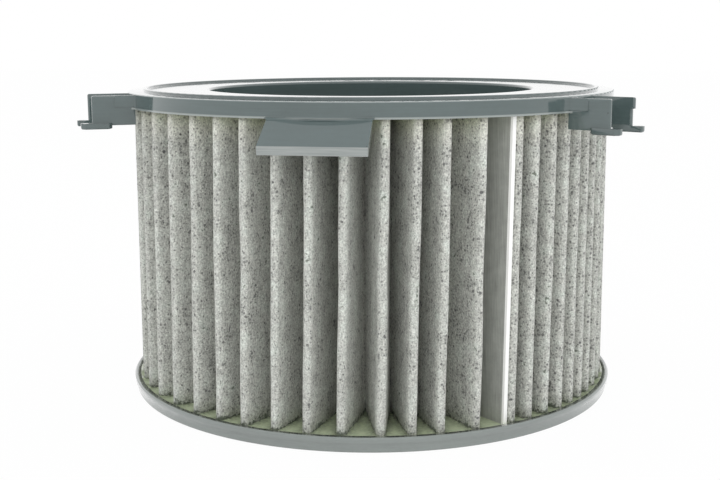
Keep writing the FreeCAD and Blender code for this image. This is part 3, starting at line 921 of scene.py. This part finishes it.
def cast_ring(name, inner, outer, bottom, top, path, half):
    """A cast ring whose surface climbs a little at its walls and at the pleats that stand in it.

    path is the fold line of the pleats in the plan, and half is half their thickness.
    """
    angles = np.arange(RING_TURNS) * math.tau / RING_TURNS
    radii = np.linspace(inner, outer, RING_STEPS)
    plan = np.array([polar(radius, place) for place in angles for radius in radii])
    gap = np.maximum(distance_to_path(plan, path) - half, 0)
    walls = np.tile(np.minimum(radii - inner, outer - radii), RING_TURNS)
    climb = PLEAT_CLIMB * np.exp(-gap / PLEAT_CLIMB_REACH)
    climb += WALL_CLIMB * np.exp(-walls / WALL_CLIMB_REACH)
    sag = SAG * np.sin(np.repeat(angles, RING_STEPS) * SAG_WAVES + SAG_START)
    heights = top + climb + sag
    shape = bmesh.new()
    upper = [shape.verts.new((*place, height)) for place, height in zip(plan, heights)]
    low_in = [shape.verts.new((*polar(inner, place), bottom)) for place in angles]
    low_out = [shape.verts.new((*polar(outer, place), bottom)) for place in angles]
    for i in range(RING_TURNS):
        j = (i + 1) % RING_TURNS
        here, following = (
            [low_in[k], *upper[k * RING_STEPS : (k + 1) * RING_STEPS], low_out[k]] for k in (i, j)
        )
        for k in range(len(here)):
            shape.faces.new((here[k - 1], here[k], following[k], following[k - 1]))
    mesh = outward_mesh(name, shape)
    # How near each point is to the pleats, for the potting's soiling and painted shade.
    stain = np.zeros(len(mesh.vertices))
    stain[: len(plan)] = np.exp(-gap / PLEAT_NEARNESS_REACH)
    mesh.attributes.new("stain", "FLOAT", "POINT").data.foreach_set("value", stain)
    mesh.shade_smooth()
    mesh.set_sharp_from_angle(angle=CAST_EDGE)
    return mesh


# The back of the frame starts at the first share of how far it reaches backwards, and the tab's
# end at the second share of how far it reaches forwards.
BACK_SHARE, TAB_END_SHARE = 0.5, 0.99
# How far in from the widest point a place counts as the wall's lower edge or as the ledge's rim,
# and how far down from the rim's top.
EDGE_DEPTH, RIM_DEPTH, RIM_DROP = 0.05 * MM, 1 * MM, 0.01 * MM


def frame_places(mesh):
    """Where the frame's tab, the wall's lower edge and the ledge's rim are.

    The edge and the rim are read at the back of the frame, where nothing stands out of its wall.
    """
    places = points_of(mesh)
    radii = np.linalg.norm(places[:, :2], axis=1)
    behind = places[:, 1] > BACK_SHARE * places[:, 1].max()
    widest = radii[behind].max()
    at_edge = behind & (radii > widest - EDGE_DEPTH)
    at_tab = places[:, 1] < TAB_END_SHARE * places[:, 1].min()
    rim_height = places[behind & (radii > widest - RIM_DEPTH), 2].max()
    at_rim = behind & (places[:, 2] > rim_height - RIM_DROP)
    return SimpleNamespace(
        edge_height=float(places[at_edge, 2].mean()),
        edge_radius=float(widest),
        tab_half=float(places[at_tab, 0].max()),
        rim_height=float(rim_height),
        rim_radius=float(radii[at_rim].max()),
    )


# All lamps shine at this point.
MIDDLE = (0, 0, 0.06)
SENSOR_WIDTH = 36
FLOOR_HALF = 4
FLOOR_GREY = (0.94, 0.94, 0.94)
SKY_TINT = (0.97, 0.98, 1.0)
# Each lamp's name, place and size, and the setting that holds its power.
LAMPS = (
    ("key_lamp", (-0.12, -1.15, 0.42), 0.9, "key"),
    ("fill_lamp", (0.75, -0.85, 0.35), 0.6, "fill"),
    ("left_lamp", (-1.15, 0.3, 0.4), 0.8, "sides"),
    ("right_lamp", (1.15, 0.3, 0.4), 0.8, "sides"),
)


def area_lamp(name, place, size, watts):
    """A square lamp that lights the filter and isn't mirrored in its gloss."""
    lamp = bpy.data.lights.new(name, "AREA")
    lamp.shape = "SQUARE"
    lamp.size = size
    lamp.energy = watts
    holder = bpy.data.objects.new(name, lamp)
    holder.location = place
    holder.visible_glossy = False
    holder.rotation_euler = (Vector(MIDDLE) - Vector(place)).to_track_quat("-Z", "Y").to_euler()
    bpy.context.scene.collection.objects.link(holder)


def seen_directly(wiring):
    """1 for what the camera sees itself, in a gloss or through glass, and else 0."""
    path = wiring.add("ShaderNodeLightPath", output="Is Camera Ray")
    seen = path + path.other("Is Glossy Ray") + path.other("Is Transmission Ray")
    return wiring.clamped(seen)


def white_floor(settings):
    """The floor's material, which is seen as plain white as far as the setting says."""
    material, wiring = new_material("white_floor")
    diffuse = wiring.add("ShaderNodeBsdfDiffuse", {}, {"Color": FLOOR_GREY})
    glow = wiring.add("ShaderNodeEmission", {}, {"Color": WHITE, "Strength": 1.0})
    factor = seen_directly(wiring) * settings.floor_glow
    mixed = wiring.add("ShaderNodeMixShader", {}, {0: factor, 1: diffuse, 2: glow})
    wiring.add("ShaderNodeOutputMaterial", {}, {"Surface": mixed})
    return material


def even_sky(settings):
    """A world that lights evenly and is seen as plain white."""
    world = bpy.data.worlds.new("studio")
    world.use_nodes = True
    wiring = Wiring(world.node_tree)
    sockets = {"Color": SKY_TINT, "Strength": settings.sky}
    light = wiring.add("ShaderNodeBackground", {}, sockets)
    white = wiring.add("ShaderNodeBackground", {}, {"Color": WHITE, "Strength": 1.0})
    mixed = wiring.add("ShaderNodeMixShader", {}, {0: seen_directly(wiring), 1: light, 2: white})
    wiring.add("ShaderNodeOutputWorld", {}, {"Surface": mixed})
    return world


def studio_camera(settings):
    """The camera, turned round the filter, then tilted and rolled."""
    camera = bpy.data.cameras.new("camera")
    camera.sensor_width = SENSOR_WIDTH
    camera.lens = settings.lens
    camera.clip_start = 10 * MM
    holder = bpy.data.objects.new("camera", camera)
    turn = Matrix.Rotation(settings.camera_turn, 4, "Z")
    tilt = Matrix.Rotation(settings.camera_tilt, 4, "X")
    roll = Matrix.Rotation(settings.camera_roll, 4, "Z")
    place = Matrix.Translation(settings.camera_place)
    holder.matrix_world = place @ turn @ tilt @ roll
    return holder


# Operators


# The scene keeps the plan of the sheet's fold line, as plain numbers, under this name.
FOLD_LINE = "filter_path"
LEVEL_TOLERANCE = 0.01 * MM


def fold_line(scene):
    """The plan of the sheet's fold line, one row for each point."""
    return np.array(scene[FOLD_LINE]).reshape(-1, 2)


class FILTER_OT_media(bpy.types.Operator):
    """Fold the media into its pleats and stand its two pressed ends in the seam groove"""

    bl_idname = "filter.media"
    bl_label = "Pleated Media"

    def execute(self, context):
        settings = context.scene.filter_pleats
        colours = context.scene.filter_colours
        face, back = felt_material(colours), felt_back_material(colours)
        sheet = folded_sheet(settings, face)
        sheet.data.materials.append(back)
        context.scene[FOLD_LINE] = [
            number
            for vertex in sheet.data.vertices
            if vertex.co.z < settings.bottom + LEVEL_TOLERANCE
            for number in vertex.co[:2]
        ]
        wall = sheet.modifiers.new("thickness", "SOLIDIFY")
        wall.thickness = settings.thickness
        wall.offset = 0
        wall.material_offset = 1
        apply_modifiers(sheet)
        outline = seam_outline(settings)
        mesh = slab("seam_flap", outline, settings.bottom, settings.top)
        twist(mesh, settings)
        flap = new_piece("seam_flap", mesh, back)
        for piece in (sheet, flap):
            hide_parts("pleated_media")
            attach(piece, "root")
        return {"FINISHED"}


class FILTER_OT_strip(bpy.types.Operator):
    """Finish the white clip over the seam"""

    bl_idname = "filter.strip"
    bl_label = "Seam Strip"

    def execute(self, context):
        material = strip_material(context.scene.filter_colours)
        mesh = merged_copy("seam_strip", "white_seam_strip")
        twist(mesh, context.scene.filter_pleats)
        strip = new_piece("white_seam_strip", mesh, material)
        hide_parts("seam_strip")
        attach(strip, "root")
        return {"FINISHED"}


class FILTER_OT_potting(bpy.types.Operator):
    """Cast the ring in which the pleats stand, and give the upper one its material"""

    bl_idname = "filter.potting"
    bl_label = "Potting"

    def execute(self, context):
        half = context.scene.filter_pleats.thickness / 2
        material = potting_material(context.scene.filter_colours)
        places = points_of(frame["nodes"]["lower_potting"].data)
        radii, heights = np.linalg.norm(places[:, :2], axis=1), places[:, 2]
        sizes = (radii.min(), radii.max(), heights.min(), heights.max())
        mesh = cast_ring("cast_ring", *sizes, fold_line(context.scene), half)
        ring = new_piece("cast_ring", mesh, material)
        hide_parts("lower_potting")
        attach(ring, "root")
        upper = frame["nodes"]["upper_potting"].data
        upper.materials.clear()
        upper.materials.append(material)
        return {"FINISHED"}


class FILTER_OT_mouldings(bpy.types.Operator):
    """Finish the top frame and the tray"""

    bl_idname = "filter.mouldings"
    bl_label = "Mouldings"

    def execute(self, context):
        colours = context.scene.filter_colours
        tab_end = -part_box("top_frame")[0][1]
        details = frame_details(tab_end, frame_places(frame["nodes"]["top_frame"].data))
        frame_plastic = moulded_plastic(
            "grey_frame_plastic", colours.frame, roughness=0.1, details=details
        )
        tray_plastic = moulded_plastic("grey_tray_plastic", colours.tray, roughness=0.16)
        finishes = (
            ("top_frame", "moulded_frame", "frame_plastic", frame_plastic),
            ("bottom_tray", "moulded_tray", "tray_plastic", tray_plastic),
        )
        for node, name, slot, material in finishes:
            piece = new_piece(name, merged_copy(node, name), material)
            weighted = piece.modifiers.new("even_shading", "WEIGHTED_NORMAL")
            weighted.keep_sharp = True
            apply_modifiers(piece)
            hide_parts(node)
            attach(piece, "root")
        return {"FINISHED"}


class FILTER_OT_studio(bpy.types.Operator):
    """Set up the floor, the lights and the camera"""

    bl_idname = "filter.studio"
    bl_label = "Studio"

    def execute(self, context):
        scene = context.scene
        settings = scene.filter_studio
        mesh = bpy.data.meshes.new("studio_floor")
        corners = [(-1, -1, 0), (1, -1, 0), (1, 1, 0), (-1, 1, 0)]
        mesh.from_pydata([Vector(corner) * FLOOR_HALF for corner in corners], [], [(0, 1, 2, 3)])
        floor = bpy.data.objects.new("studio_floor", mesh)
        mesh.materials.append(white_floor(settings))
        scene.collection.objects.link(floor)
        scene.world = even_sky(settings)
        for name, place, size, power_setting in LAMPS:
            area_lamp(name, place, size, getattr(settings, power_setting))
        camera = studio_camera(settings)
        scene.collection.objects.link(camera)
        scene.camera = camera
        scene.view_settings.view_transform = "Standard"
        return {"FINISHED"}


class FILTER_PT_panel(bpy.types.Panel):
    """Lists the steps that dress the filter"""

    bl_idname = "FILTER_PT_panel"
    bl_label = "Round Air Filter"
    bl_space_type = "VIEW_3D"
    bl_region_type = "UI"
    bl_category = "Air Filter"

    def draw(self, context):
        for step in STEPS:
            self.layout.operator(step.bl_idname)
        for group in SETTINGS:
            box = self.layout.box()
            settings = getattr(context.scene, group)
            for name in settings.__annotations__:
                box.prop(settings, name)


SETTINGS = {
    "filter_pleats": PleatSettings,
    "filter_colours": FilterColours,
    "filter_studio": StudioSettings,
}
STEPS = (
    FILTER_OT_studio,
    FILTER_OT_media,
    FILTER_OT_strip,
    FILTER_OT_potting,
    FILTER_OT_mouldings,
)


def register():
    for item in (*SETTINGS.values(), *STEPS, FILTER_PT_panel):
        bpy.utils.register_class(item)
    for name, group in SETTINGS.items():
        setattr(bpy.types.Scene, name, bpy.props.PointerProperty(type=group))


def unregister():
    for name in SETTINGS:
        delattr(bpy.types.Scene, name)
    for item in reversed((*SETTINGS.values(), *STEPS, FILTER_PT_panel)):
        bpy.utils.unregister_class(item)


def main():
    register()
    for step in STEPS:
        group, name = step.bl_idname.split(".")
        getattr(getattr(bpy.ops, group), name)()


if __name__ == "__main__":
    main()
